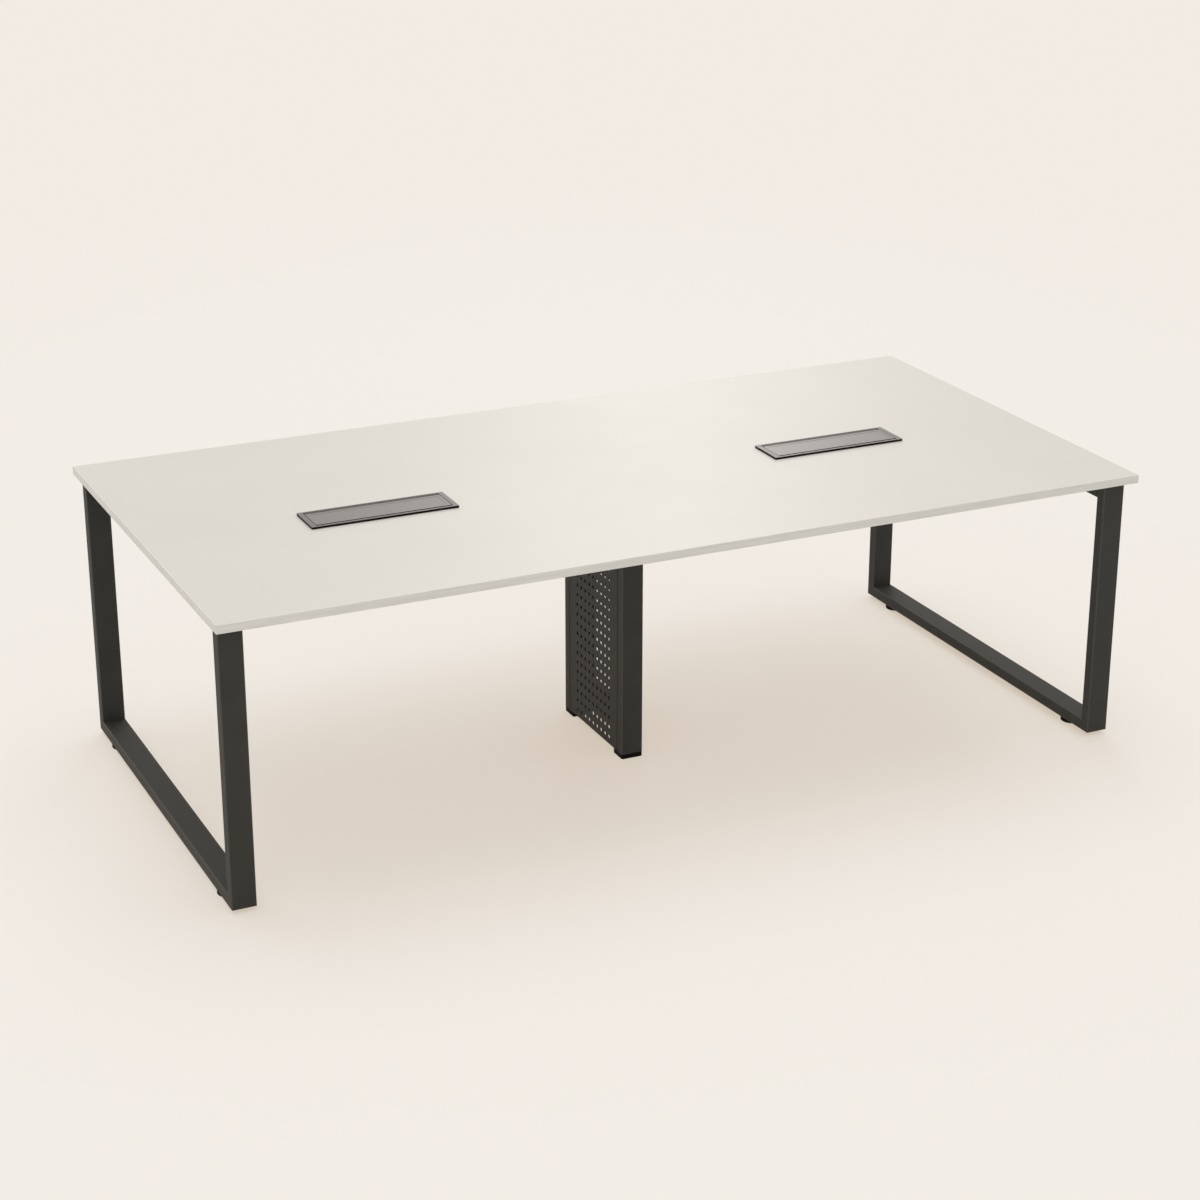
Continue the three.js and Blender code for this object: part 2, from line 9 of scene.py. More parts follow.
import bmesh
import bpy
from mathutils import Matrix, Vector


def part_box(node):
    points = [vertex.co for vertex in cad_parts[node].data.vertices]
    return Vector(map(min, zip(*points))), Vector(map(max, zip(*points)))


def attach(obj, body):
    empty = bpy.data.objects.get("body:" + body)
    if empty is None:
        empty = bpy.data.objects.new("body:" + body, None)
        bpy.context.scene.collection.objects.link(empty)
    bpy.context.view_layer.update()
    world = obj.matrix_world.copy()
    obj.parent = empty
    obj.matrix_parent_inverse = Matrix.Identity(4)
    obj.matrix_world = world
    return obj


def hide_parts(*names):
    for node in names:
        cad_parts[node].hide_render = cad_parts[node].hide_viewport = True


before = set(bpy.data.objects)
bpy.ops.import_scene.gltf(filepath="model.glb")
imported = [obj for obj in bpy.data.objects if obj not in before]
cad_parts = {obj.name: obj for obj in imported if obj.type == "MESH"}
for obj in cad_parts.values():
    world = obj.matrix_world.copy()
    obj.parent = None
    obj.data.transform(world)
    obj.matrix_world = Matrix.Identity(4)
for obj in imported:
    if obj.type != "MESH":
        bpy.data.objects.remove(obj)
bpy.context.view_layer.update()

MM = 0.001
SAME_PLACE = 0.02 * MM
SMOOTH_ANGLE = math.radians(40)
SQUARE_ON = math.cos(math.radians(2))
SIDES = {"left": -1, "right": 1}
ENDS = {"front": -1, "rear": 1}
CORNERS = [f"{side}_{end}" for side in SIDES for end in ENDS]
X_AXIS, Y_AXIS, Z_AXIS = 0, 1, 2
ROUNDING = "rounding"

# Colour sockets of a Mix node
COLOUR_A = 6
COLOUR_B = 7
COLOUR_RESULT = 2

# Table top
ARRIS = 1.2 * MM
GLUE_LINE = 0.12 * MM

# End frames
TUBE_RADIUS = 3 * MM
TUBE_THIN = 30 * MM
WELD_RADIUS = 2.5 * MM
UPRIGHT_WELD_ANGLES = (22.5, 45)
RAIL_WELD_ANGLES = (45, 67.5)

# Beams
BEAM_RADIUS = 2 * MM
PLATE_ROUNDING = 0.6 * MM
PLATE_CORNER = 4 * MM
BOLT_HEAD_ACROSS = 13 * MM
BOLT_HEAD_HEIGHT = 4.3 * MM
BOLT_HEAD_EDGE = 0.4 * MM
WASHER_RADIUS = 7.5 * MM
WASHER_HEIGHT = 1 * MM
WASHER_EDGE = 0.2 * MM

# Cable column
POST_RADIUS = 5 * MM
GROOVE_FROM_FACE = 29 * MM
GROOVE_WIDTH = 3 * MM
PANEL_LAP = 12 * MM
PANEL_REBATE = 2.3 * MM
PANEL_SINK = 0.3 * MM
PANEL_SHEET = 1.5 * MM
HOLE_PITCH_ACROSS = 24 * MM
HOLE_PITCH_UP = 27 * MM
HOLE_RADIUS = 5 * MM
HOLE_COLUMNS = 9
HOLE_ROWS = 22
HOLE_STEPS = 16
FIRST_HOLE_HEIGHT = 20 * MM
FOOT_RADIUS = 5 * MM
FOOT_EDGE = 0.8 * MM

# Levelling glides
THREAD_PITCH = 1.25 * MM
THREAD_DEPTH = 0.7 * MM
THREAD_STEPS = 20
SPARE_TURNS = 2
GLIDE_ROUNDING = 3 * MM
GLIDE_EDGE = 0.8 * MM
INSERT_FLANGE = 1.2 * MM
INSERT_BORE = 4.4 * MM
INSERT_EDGE = 0.2 * MM

# Cable boxes
BEZEL_FRONT = 9 * MM
BEZEL_REAR = 6 * MM
BEZEL_END = 14 * MM
BEZEL_RISE = 6 * MM
SKIRT_WALL = 2 * MM
CUTOUT_CLEARANCE = 1 * MM
COVER_SHEET = 1 * MM
COVER_EDGE = 0.3 * MM
BASE_INSET = 0.4 * MM
FRONT_REVEAL = 2 * MM
END_REVEAL = 0.5 * MM
LID_THICKNESS = 4 * MM
LID_EDGE = 0.5 * MM
LID_BORDER = 8 * MM
LID_SLOPE = 0.5 * MM
LID_RECESS = 0.6 * MM
STRIP_THICKNESS = 0.6 * MM
STRIP_DROP = 0.5 * MM
STRIP_EDGE = 0.15 * MM
EAR_WIDTH = 8 * MM
EAR_REACH = 4 * MM
EAR_ROUNDING = 3.8 * MM
HINGE_FROM_LID_FRONT = 4 * MM
HINGE_DEPTH = 5 * MM
PIN_EDGE = 0.3 * MM
BRUSH_BACK = 3 * MM
BRUSH_BACK_EDGE = 0.4 * MM
BRISTLE_RADIUS = 0.28 * MM
BRISTLE_PITCH = 1.1 * MM
BRISTLE_ROWS = (-0.3 * MM, -1.0 * MM)
TRAY_SHEET = 1.5 * MM
TRAY_FLANGE = 15 * MM
TRAY_BEND = 1.8 * MM

# Screws that hold the top and the trays, seen from below
SCREW_RADIUS = 4.5 * MM
SCREW_HEIGHT = 2.6 * MM
SCREW_DOME = 1.8 * MM
SOCKET_RADIUS = 1.6 * MM
SOCKET_DEPTH = 1.2 * MM
RAIL_SCREWS = (-0.42, -0.14, 0.14, 0.42)
BEAM_SCREWS = (-0.95, -0.32, 0.32, 0.95)
TRAY_SCREWS = (-0.16, 0, 0.16)

# Camera, floor and light
LENS = 79.2
CAMERA_PLACE = Vector((-2.683, -5.709, 2.819))
CAMERA_AIM = Vector((-0.006, 0.006, 0.370))
CAMERA_REACH = 200
FLOOR_SIZE = 80
FLOOR_COLOUR = (0.80, 0.80, 0.80)
FLOOR_IN_VIEW = (0.73, 0.83, 0.95)
FLOOR_GLOW = (1.0, 0.847, 0.678)
GLOW_SHARE = 0.57
BACKDROP_COLOUR = (0.885, 0.84, 0.795)
ROOM_COLOUR = (1.0, 0.98, 0.95)
ROOM_LIGHT = 0.60
LAMP_COLOUR = (1.0, 0.99, 0.97)
SKYLIGHT = 0.40
SKYLIGHT_SPREAD = math.radians(60)
SKYLIGHT_TILT = (math.radians(-14), math.radians(5), 0)
SOFTBOXES = {
    "rear softbox": {
        "place": (3.45, 6.6, 4.3),
        "aim": (0, 0, 0.7),
        "size": (1.6, 3.2),
        "power": 10.2,
        "spread": math.radians(80),
    },
    "fill softbox": {
        "place": (-4.5, -5.5, 3.2),
        "aim": (0, 0, 0.4),
        "size": (2, 2.5),
        "power": 35,
        "spread": math.radians(180),
    },
}


# Materials

class Value:
    """An output among a look's nodes, on which arithmetic adds Math nodes."""

    def __init__(self, nodes, socket):
        self.nodes = nodes
        self.socket = socket

    def math(self, operation, a, b):
        return self.nodes.node("ShaderNodeMath", {"operation": operation}, {0: a, 1: b})

    def __add__(self, other):
        return self.math("ADD", self, other)

    def __radd__(self, other):
        return self.math("ADD", other, self)

    def __sub__(self, other):
        return self.math("SUBTRACT", self, other)

    def __rsub__(self, other):
        return self.math("SUBTRACT", other, self)

    def __mul__(self, other):
        return self.math("MULTIPLY", self, other)

    def __rmul__(self, other):
        return self.math("MULTIPLY", other, self)


class Nodes:
    """The nodes of a material or of the room around the table."""

    def __init__(self, tree):
        self.tree = tree

    def node(self, kind, settings, inputs, output=0):
        node = self.tree.nodes.new(kind)
        for name, value in settings.items():
            setattr(node, name, value)
        for name, value in inputs.items():
            self.feed(node.inputs[name], value)
        return Value(self, node.outputs[output])

    def feed(self, socket, value):
        if isinstance(value, Value):
            self.tree.links.new(value.socket, socket)
        else:
            socket.default_value = value

    def in_view(self):
        """1 for what is looked at, straight, in a mirror or through glass; 0 for other light."""
        rays = ("Is Camera Ray", "Is Glossy Ray", "Is Transmission Ray")
        kinds = (self.node("ShaderNodeLightPath", {}, {}, ray) for ray in rays)
        straight, mirrored, through = kinds
        return straight + mirrored + through

    def show(self, output, shader):
        self.feed(self.tree.nodes[output].inputs["Surface"], shader)


class Look(Nodes):
    """A material made of one Principled shader and the nodes that vary it."""

    def __init__(self, name, constants):
        self.material = bpy.data.materials.new(name)
        self.material.use_nodes = True
        super().__init__(self.material.node_tree)
        self.shader = self.tree.nodes["Principled BSDF"]
        for socket, value in constants.items():
            self.shader.inputs[socket].default_value = value

    def place(self, stretch=(1, 1, 1)):
        """Object coordinates, packed more closely along an axis with a larger stretch."""
        here = self.node("ShaderNodeTexCoord", {}, {}, "Object")
        return self.node("ShaderNodeMapping", {}, {"Vector": here, "Scale": stretch})

    def noise(self, scale, detail, stretch=(1, 1, 1)):
        inputs = {"Vector": self.place(stretch), "Scale": scale, "Detail": detail}
        return self.node("ShaderNodeTexNoise", {}, inputs)

    def blend(self, share, one, other):
        """A colour between two, each three numbers or an output."""
        one, other = (c if isinstance(c, Value) else (*c, 1) for c in (one, other))
        inputs = {0: share, COLOUR_A: one, COLOUR_B: other}
        return self.node("ShaderNodeMix", {"data_type": "RGBA"}, inputs, COLOUR_RESULT)

    def spread(self, value, low, high):
        """The part of a value between low and high, stretched to run from 0 to 1."""
        inputs = {"Value": value, "From Min": low, "From Max": high}
        return self.node("ShaderNodeMapRange", {}, inputs)

    def bump(self, height, strength, distance):
        inputs = {"Strength": strength, "Distance": distance, "Height": height}
        return self.node("ShaderNodeBump", {}, inputs)

    def set(self, socket, value):
        self.feed(self.shader.inputs[socket], value)


def laminate():
    look = Look("laminate", {"IOR": 1.45})
    cloud = look.noise(scale=2.2, detail=3)
    grain = look.noise(scale=950, detail=2)
    tone = look.spread(cloud * 0.7 + grain * 0.3, low=0.35, high=0.65)
    dark = (0.655, 0.632, 0.582)
    light = (0.680, 0.656, 0.606)
    look.set("Base Color", look.blend(tone, dark, light))
    look.set("Roughness", 0.40 + 0.06 * look.noise(scale=7, detail=3))
    look.set("Normal", look.bump(grain, strength=0.12, distance=0.1 * MM))
    return look.material


def edging():
    look = Look("edging", {"IOR": 1.45})
    streak = look.noise(scale=9, detail=3, stretch=(1, 1, 22))
    grain = look.noise(scale=1100, detail=2)
    tone = look.spread(streak * 0.8 + grain * 0.2, low=0.36, high=0.64)
    dark = (0.730, 0.705, 0.645)
    light = (0.800, 0.772, 0.712)
    look.set("Base Color", look.blend(tone, dark, light))
    look.set("Roughness", 0.38 + 0.12 * streak)
    look.set("Normal", look.bump(grain, strength=0.15, distance=0.1 * MM))
    return look.material


def powder_coat():
    look = Look("powder_coat", {"IOR": 1.5, "Specular IOR Level": 0.25})
    speckle = look.noise(scale=1500, detail=3)
    cloud = look.noise(scale=14, detail=3)
    tone = look.spread(speckle * 0.55 + cloud * 0.45, low=0.36, high=0.64)
    rounded = look.node("ShaderNodeAttribute", {"attribute_name": ROUNDING}, {}, "Fac")
    dark = (0.034, 0.0325, 0.0265)
    light = (0.048, 0.0458, 0.039)
    # painted highlight: the faces of rounded edges are painted a lighter colour
    painted_edge_highlight = (0.085, 0.082, 0.072)
    flat = look.blend(tone, dark, light)
    look.set("Base Color", look.blend(rounded * 0.6, flat, painted_edge_highlight))
    look.set("Roughness", 0.56 + 0.14 * cloud - 0.12 * rounded)
    look.set("Normal", look.bump(speckle, strength=0.35, distance=0.12 * MM))
    return look.material


def aluminium(name, shade):
    """Anodised and brushed along the table."""
    look = Look(name, {"Metallic": 0.85})
    brushed = look.noise(scale=28, detail=3, stretch=(0.2, 60, 60))
    tints = (1, 0.964, 0.937)
    dark, light = (tuple(shade * tint * part for tint in tints) for part in (0.94, 1.06))
    look.set("Base Color", look.blend(look.spread(brushed, low=0.33, high=0.67), dark, light))
    look.set("Roughness", 0.38 + 0.08 * brushed)
    look.set("Normal", look.bump(brushed, strength=0.05, distance=0.02 * MM))
    return look.material


def black_plastic():
    look = Look("black_plastic", {"IOR": 1.45, "Specular IOR Level": 0.12})
    grain = look.noise(scale=1300, detail=3)
    cloud = look.noise(scale=40, detail=2)
    tone = look.spread(grain * 0.5 + cloud * 0.5, low=0.35, high=0.65)
    dark = (0.002, 0.002, 0.002)
    light = (0.006, 0.006, 0.0055)
    look.set("Base Color", look.blend(tone, dark, light))
    look.set("Roughness", 0.55 + 0.18 * cloud)
    look.set("Normal", look.bump(grain, strength=0.4, distance=0.15 * MM))
    return look.material


def bristle():
    look = Look("bristle", {"IOR": 1.5})
    strand = look.noise(scale=420, detail=2, stretch=(1, 0.05, 0.05))
    bands = {"Vector": look.place(), "Scale": 52, "Distortion": 0.5}
    tuft = look.node("ShaderNodeTexWave", {"bands_direction": "X"}, bands, "Fac")
    tone = look.spread(strand * 0.4 + tuft * 0.6, low=0.2, high=0.8)
    dark = (0.04, 0.039, 0.037)
    light = (0.46, 0.442, 0.414)
    look.set("Base Color", look.blend(tone, dark, light))
    look.set("Roughness", 0.55 + 0.25 * strand)
    return look.material


def zinc():
    look = Look("zinc", {"Metallic": 1})
    spangle = look.noise(scale=260, detail=2)
    cloud = look.noise(scale=30, detail=3)
    tone = look.spread(spangle * 0.5 + cloud * 0.5, low=0.35, high=0.65)
    dark = (0.47, 0.47, 0.44)
    light = (0.66, 0.66, 0.62)
    look.set("Base Color", look.blend(tone, dark, light))
    look.set("Roughness", 0.26 + 0.2 * cloud)
    look.set("Normal", look.bump(spangle, strength=0.1, distance=0.05 * MM))
    return look.material


FINISHES = {
    "laminate": laminate(),
    "edging": edging(),
    "powder_coat": powder_coat(),
    "aluminium": aluminium("aluminium", shade=0.21),
    # painted shade: a darker copy of the same aluminium, for the bezel covers and the brush
    # backings
    "shaded_aluminium": aluminium("shaded_aluminium", shade=0.172),
    "black_plastic": black_plastic(),
    "bristle": bristle(),
    "zinc": zinc(),
}


# Modelling by hand

def near(a, b):
    return abs(a - b) < SAME_PLACE


def only(piece):
    """Makes the piece the one that is selected and active."""
    bpy.ops.object.select_all(action="DESELECT")
    piece.select_set(True)
    bpy.context.view_layer.objects.active = piece


@contextmanager
def editing(piece):
    only(piece)
    bpy.ops.object.mode_set(mode="EDIT")
    bpy.ops.mesh.select_all(action="SELECT")
    yield
    bpy.ops.object.mode_set(mode="OBJECT")


def middle(part):
    if isinstance(part, bmesh.types.BMVert):
        return part.co
    if isinstance(part, bmesh.types.BMEdge):
        return (part.verts[0].co + part.verts[1].co) / 2
    return part.calc_center_median()


def runs(edge, axis):
    step = edge.verts[1].co - edge.verts[0].co
    return near(step.length, abs(step[axis]))


def pick(piece, kind, test):
    """In edit mode, selects only the vertices, edges or faces that pass the test."""
    bpy.ops.mesh.select_mode(type=kind)
    bpy.ops.mesh.select_all(action="DESELECT")
    mesh = bmesh.from_edit_mesh(piece.data)
    parts = {"VERT": mesh.verts, "EDGE": mesh.edges, "FACE": mesh.faces}[kind]
    for part in parts:
        if test(part):
            part.select_set(True)
    bmesh.update_edit_mesh(piece.data)


def slice_at(place, normal, fill=False, clear=False):
    """In edit mode, cuts the whole piece with a plane; clear takes away what is beyond it."""
    bpy.ops.mesh.select_all(action="SELECT")
    bpy.ops.mesh.bisect(plane_co=place, plane_no=normal, use_fill=fill, clear_outer=clear)


def slide(x=0, y=0, z=0):
    bpy.ops.transform.translate(value=(x, y, z))


def pull(x=0, y=0, z=0):
    """In edit mode, extrudes what is selected."""
    bpy.ops.mesh.extrude_region_move(TRANSFORM_OT_translate={"value": (x, y, z)})


def face_out():
    bpy.ops.mesh.select_all(action="SELECT")
    bpy.ops.mesh.normals_make_consistent(inside=False)


def place_mesh(piece):
    """Puts the piece's place, turn and scale into its mesh."""
    only(piece)
    bpy.ops.object.transform_apply(location=True, rotation=True, scale=True)


def block(name, low, high):
    bpy.ops.object.select_all(action="DESELECT")
    low = Vector(low)
    high = Vector(high)
    bpy.ops.mesh.primitive_cube_add(size=1, location=(low + high) / 2, scale=high - low)
    piece = bpy.context.object
    piece.name = name
    place_mesh(piece)
    return piece


def flat_sheet(name, low, high, height):
    """A level face from corner to corner."""
    bpy.ops.object.select_all(action="DESELECT")
    place = ((low[0] + high[0]) / 2, (low[1] + high[1]) / 2, height)
    bpy.ops.mesh.primitive_plane_add(size=1, location=place)
    piece = bpy.context.object
    piece.name = name
    piece.scale = (high[0] - low[0], high[1] - low[1], 1)
    place_mesh(piece)
    return piece


def round_bar(name, place, radius, bottom, top, sides=48):
    """An upright round bar about a point in plan."""
    bpy.ops.object.select_all(action="DESELECT")
    centre = (place[0], place[1], (bottom + top) / 2)
    bpy.ops.mesh.primitive_cylinder_add(
        vertices=sides, radius=radius, depth=top - bottom, location=centre
    )
    piece = bpy.context.object
    piece.name = name
    place_mesh(piece)
    return piece


def ring(name, outer, inner, bottom, top):
    """A frame between two upright rectangles in plan, each as two corners, with mitred corners."""
    piece = joined(flat_sheet(name, *outer, bottom), flat_sheet(name, *inner, bottom))
    with editing(piece):
        bpy.ops.mesh.delete(type="ONLY_FACE")
        bpy.ops.mesh.select_all(action="SELECT")
        bpy.ops.mesh.bridge_edge_loops()
        bpy.ops.mesh.select_all(action="SELECT")
        pull(z=top - bottom)
        face_out()
    return piece


def round_off(piece, width, steps, test):
    """Rounds the edges that pass the test."""
    with editing(piece):
        pick(piece, "EDGE", test)
        bpy.ops.mesh.bevel(offset=width, segments=steps, affect="EDGES")


def soften(piece, width, steps=2):
    """Rounds every sharp edge a little, as deburring does."""
    only(piece)
    bevel = piece.modifiers.new("soften", "BEVEL")
    bevel.width = width
    bevel.segments = steps
    bevel.limit_method = "ANGLE"
    bevel.angle_limit = SMOOTH_ANGLE
    bevel.use_clamp_overlap = True
    bpy.ops.object.modifier_apply(modifier=bevel.name)


def thicken(piece, thickness, offset):
    only(piece)
    sheet = piece.modifiers.new("sheet", "SOLIDIFY")
    sheet.thickness = thickness
    sheet.offset = offset
    bpy.ops.object.modifier_apply(modifier=sheet.name)


def repeat(piece, axis, count, pitch):
    only(piece)
    row = piece.modifiers.new("repeat", "ARRAY")
    row.count = count
    row.use_relative_offset = False
    row.use_constant_offset = True
    offset = [0, 0, 0]
    offset[axis] = pitch
    row.constant_offset_displace = offset
    row.use_merge_vertices = True
    row.merge_threshold = SAME_PLACE
    bpy.ops.object.modifier_apply(modifier=row.name)


def joined(piece, *others):
    only(piece)
    for other in others:
        other.select_set(True)
    bpy.ops.object.join()
    return piece


def copy_of(piece, name, shift):
    """A copy with its own mesh, moved from where the first piece is."""
    only(piece)
    bpy.ops.object.duplicate()
    twin = bpy.context.object
    twin.name = name
    twin.location = shift
    place_mesh(twin)
    return twin


def mark_rounding(piece):
    """Marks the faces of rounded edges, which the powder coat paints lighter, a painted highlight,
    and makes less rough.
    """
    marks = piece.data.attributes.new(ROUNDING, "FLOAT", "FACE")
    for face, mark in zip(piece.data.polygons, marks.data):
        mark.value = max(abs(part) for part in face.normal) < SQUARE_ON


def hand_over(piece, finish, body="table", *nodes):
    """Gives a finished piece its finish and its body, and hides the nodes that it stands for."""
    only(piece)
    bpy.ops.object.shade_smooth_by_angle(angle=SMOOTH_ANGLE)
    shading = piece.modifiers.new("flat faces", "WEIGHTED_NORMAL")
    shading.keep_sharp = True
    bpy.ops.object.modifier_apply(modifier=shading.name)
    mark_rounding(piece)
    piece.data.materials.clear()
    piece.data.materials.append(FINISHES[finish])
    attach(piece, body)
    if nodes:
        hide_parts(*nodes)


def hand_out(pattern, finish, places, stands_in=True):
    """Copies a piece from the first place to each place: a name, a body and a node there."""
    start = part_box(places[0][2])[0]
    for name, body, node in places:
        twin = copy_of(pattern, name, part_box(node)[0] - start)
        hand_over(twin, finish, body, *([node] if stands_in else []))
    bpy.data.objects.remove(pattern)


# Table top

def box_opening(side):
    """The opening in the bezel of a cable box, as two corners in plan."""
    low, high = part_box(f"{side}_box_bezel")
    return (low.x + BEZEL_END, low.y + BEZEL_FRONT), (high.x - BEZEL_END, high.y - BEZEL_REAR)


def grown(corners, margin):
    low, high = corners
    return (low[0] - margin, low[1] - margin), (high[0] + margin, high[1] + margin)


def inside(place, corners):
    low, high = corners
    return low[0] < place.x < high[0] and low[1] < place.y < high[1]


def make_board():
    board = block("top_board", *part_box("table_top"))
    with editing(board):
        for side in SIDES:
            hole = grown(box_opening(side), SKIRT_WALL + CUTOUT_CLEARANCE)
            for corner in hole:
                slice_at((corner[0], 0, 0), (1, 0, 0))
                slice_at((0, corner[1], 0), (0, 1, 0))
            pick(board, "FACE", lambda f: inside(middle(f), hole) and abs(f.normal.z) > SQUARE_ON)
            bpy.ops.mesh.bridge_edge_loops()
    soften(board, GLUE_LINE, steps=1)
    hand_over(board, "laminate", "table", "table_top")


def make_edging():
    for side in ("front", "rear", "left", "right"):
        node = f"{side}_edge_band"
        low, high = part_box(node)
        band = block(f"{side}_edging", low, high)
        outer = {"front": low.y, "rear": high.y, "left": low.x, "right": high.x}[side]
        axis = Y_AXIS if side in ENDS else X_AXIS
        ends = (low.x, high.x) if side in ENDS else ()

        def shows(edge):
            """True on the outside and at the open ends, and false along the board."""
            at = middle(edge)
            on_end = any(near(at.x, end) for end in ends)
            return near(at[axis], outer) or on_end and not near(at.y, low.y + high.y - outer)

        round_off(band, ARRIS, steps=4, test=shows)
        hand_over(band, "edging", "table", node)


# End frames

def tube(name, low, high, axis, radius=TUBE_RADIUS):
    """A bar whose edges along the axis are rounded."""
    bar = block(name, low, high)
    round_off(bar, radius, steps=5, test=lambda e: runs(e, axis))
    return bar


def ground_weld(outer, bottom, way, angles):
    """Cutting planes that round the foot of a frame where two mitred tubes are welded."""
    for angle in angles:
        y = way * math.cos(math.radians(angle))
        z = -math.sin(math.radians(angle))
        centre_y = outer - way * WELD_RADIUS
        centre_z = bottom + WELD_RADIUS
        yield (0, centre_y + WELD_RADIUS * y, centre_z + WELD_RADIUS * z), (0, y, z)


def cut_away(piece, planes):
    with editing(piece):
        for place, normal in planes:
            slice_at(place, normal, fill=True, clear=True)


def make_frames():
    """Uprights mitred to a bottom rail, and a deeper top rail between the uprights."""
    low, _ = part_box("left_frame_front_post")
    _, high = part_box("left_frame_rear_post")
    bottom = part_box("left_frame_bottom_rail")[0].z
    for end, way in ENDS.items():
        outer = low.y if way < 0 else high.y
        inner = outer - way * TUBE_THIN
        foot = (low.x, min(outer, inner), bottom)
        head = (high.x, max(outer, inner), high.z)
        post = tube(f"{end}_upright", foot, head, Z_AXIS)
        weld = ground_weld(outer, bottom, way, UPRIGHT_WELD_ANGLES)
        cut_away(post, [((0, outer, bottom), (0, -way, -1)), *weld])
        places = [(f"{side}_{end}_upright", "table", f"{side}_frame_{end}_post") for side in SIDES]
        hand_out(post, "powder_coat", places)
    rail = tube("rail", (low.x, low.y, bottom), (high.x, high.y, bottom + TUBE_THIN), Y_AXIS)
    for outer, way in ((low.y, -1), (high.y, 1)):
        weld = ground_weld(outer, bottom, way, RAIL_WELD_ANGLES)
        cut_away(rail, [((0, outer, bottom), (0, way, 1)), *weld])
    places = [(f"{side}_bottom_rail", "table", f"{side}_frame_bottom_rail") for side in SIDES]
    hand_out(rail, "powder_coat", places)
    rail = tube("rail", *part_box("left_frame_top_rail"), Y_AXIS)
    places = [(f"{side}_top_rail", "table", f"{side}_frame_top_rail") for side in SIDES]
    hand_out(rail, "powder_coat", places)


# Beams

def make_bars():
    beam = tube("beam", *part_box("front_beam"), X_AXIS, BEAM_RADIUS)
    hand_out(beam, "powder_coat", [(f"{end}_beam_tube", "table", f"{end}_beam") for end in ENDS])
    cap = tube("cap", *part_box("column_front_cap_plate"), Z_AXIS, POST_RADIUS)
    soften(cap, PLATE_ROUNDING)
    places = [(f"column_{end}_top_plate", "table", f"column_{end}_cap_plate") for end in ENDS]
    hand_out(cap, "powder_coat", places)
    plate = tube("plate", *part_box("left_front_end_plate"), X_AXIS, PLATE_CORNER)
    soften(plate, PLATE_ROUNDING)
    places = [(f"{corner}_beam_plate", "table", f"{corner}_end_plate") for corner in CORNERS]
    hand_out(plate, "powder_coat", places)
    tie = block("column_tie_bar", *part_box("column_lower_tie"))
    soften(tie, PLATE_ROUNDING)
    hand_over(tie, "powder_coat", "table", "column_lower_tie")


def make_bolts():
    """Hexagon heads on washers, against the end plates."""
    for side, way in SIDES.items():
        washer = round_bar("washer", (0, 0), WASHER_RADIUS, 0, WASHER_HEIGHT)
        soften(washer, WASHER_EDGE)
        top = WASHER_HEIGHT + BOLT_HEAD_HEIGHT
        corner_radius = BOLT_HEAD_ACROSS / math.sqrt(3)
        head = round_bar("bolt", (0, 0), corner_radius, WASHER_HEIGHT, top, sides=6)
        soften(head, BOLT_HEAD_EDGE)
        bolt = joined(head, washer)
        bolt.rotation_euler = (0, -way * math.pi / 2, 0)
        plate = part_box(f"{side}_front_end_plate")
        low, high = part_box(f"{side}_front_bolt")
        bolt.location = (low + high) / 2
        bolt.location.x = plate[0].x if way > 0 else plate[1].x
        place_mesh(bolt)
        places = [(f"{side}_{end}_bolt_head", "table", f"{side}_{end}_bolt") for end in ENDS]
        hand_out(bolt, "zinc", places)


def make_screw_head():
    """A domed head with a round socket, under the origin."""
    head = round_bar("screw", (0, 0), SCREW_RADIUS, -SCREW_HEIGHT, 0, sides=24)
    round_off(head, SCREW_DOME, steps=4, test=lambda e: near(middle(e).z, -SCREW_HEIGHT))
    with editing(head):
        pick(head, "FACE", lambda f: f.normal.z < -SQUARE_ON)
        bpy.ops.mesh.inset(thickness=SCREW_RADIUS - SCREW_DOME - SOCKET_RADIUS)
        pull(z=SOCKET_DEPTH)
    return head


def make_screws():
    """Screws driven up into the top through the rails, the beams and the flanges of the trays."""
    pattern = make_screw_head()
    groups = {}
    for side in SIDES:
        low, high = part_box(f"{side}_frame_top_rail")
        x = (low.x + high.x) / 2
        groups[f"{side}_rail_screws"] = [(x, y, low.z) for y in RAIL_SCREWS]
        low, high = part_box(f"{side}_box_tray")
        x = (low.x + high.x) / 2
        flanges = (low.y + TRAY_FLANGE / 2, high.y - TRAY_FLANGE / 2)
        underside = high.z - TRAY_SHEET
        along = [x + step for step in TRAY_SCREWS]
        groups[f"{side}_tray_screws"] = [(x, y, underside) for y in flanges for x in along]
    for end in ENDS:
        low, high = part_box(f"{end}_beam")
        y = (low.y + high.y) / 2
        groups[f"{end}_beam_screws"] = [(x, y, low.z) for x in BEAM_SCREWS]
    for name, places in groups.items():
        heads = [copy_of(pattern, name, place) for place in places]
        hand_over(joined(*heads), "zinc")
    bpy.data.objects.remove(pattern)


# Cable column

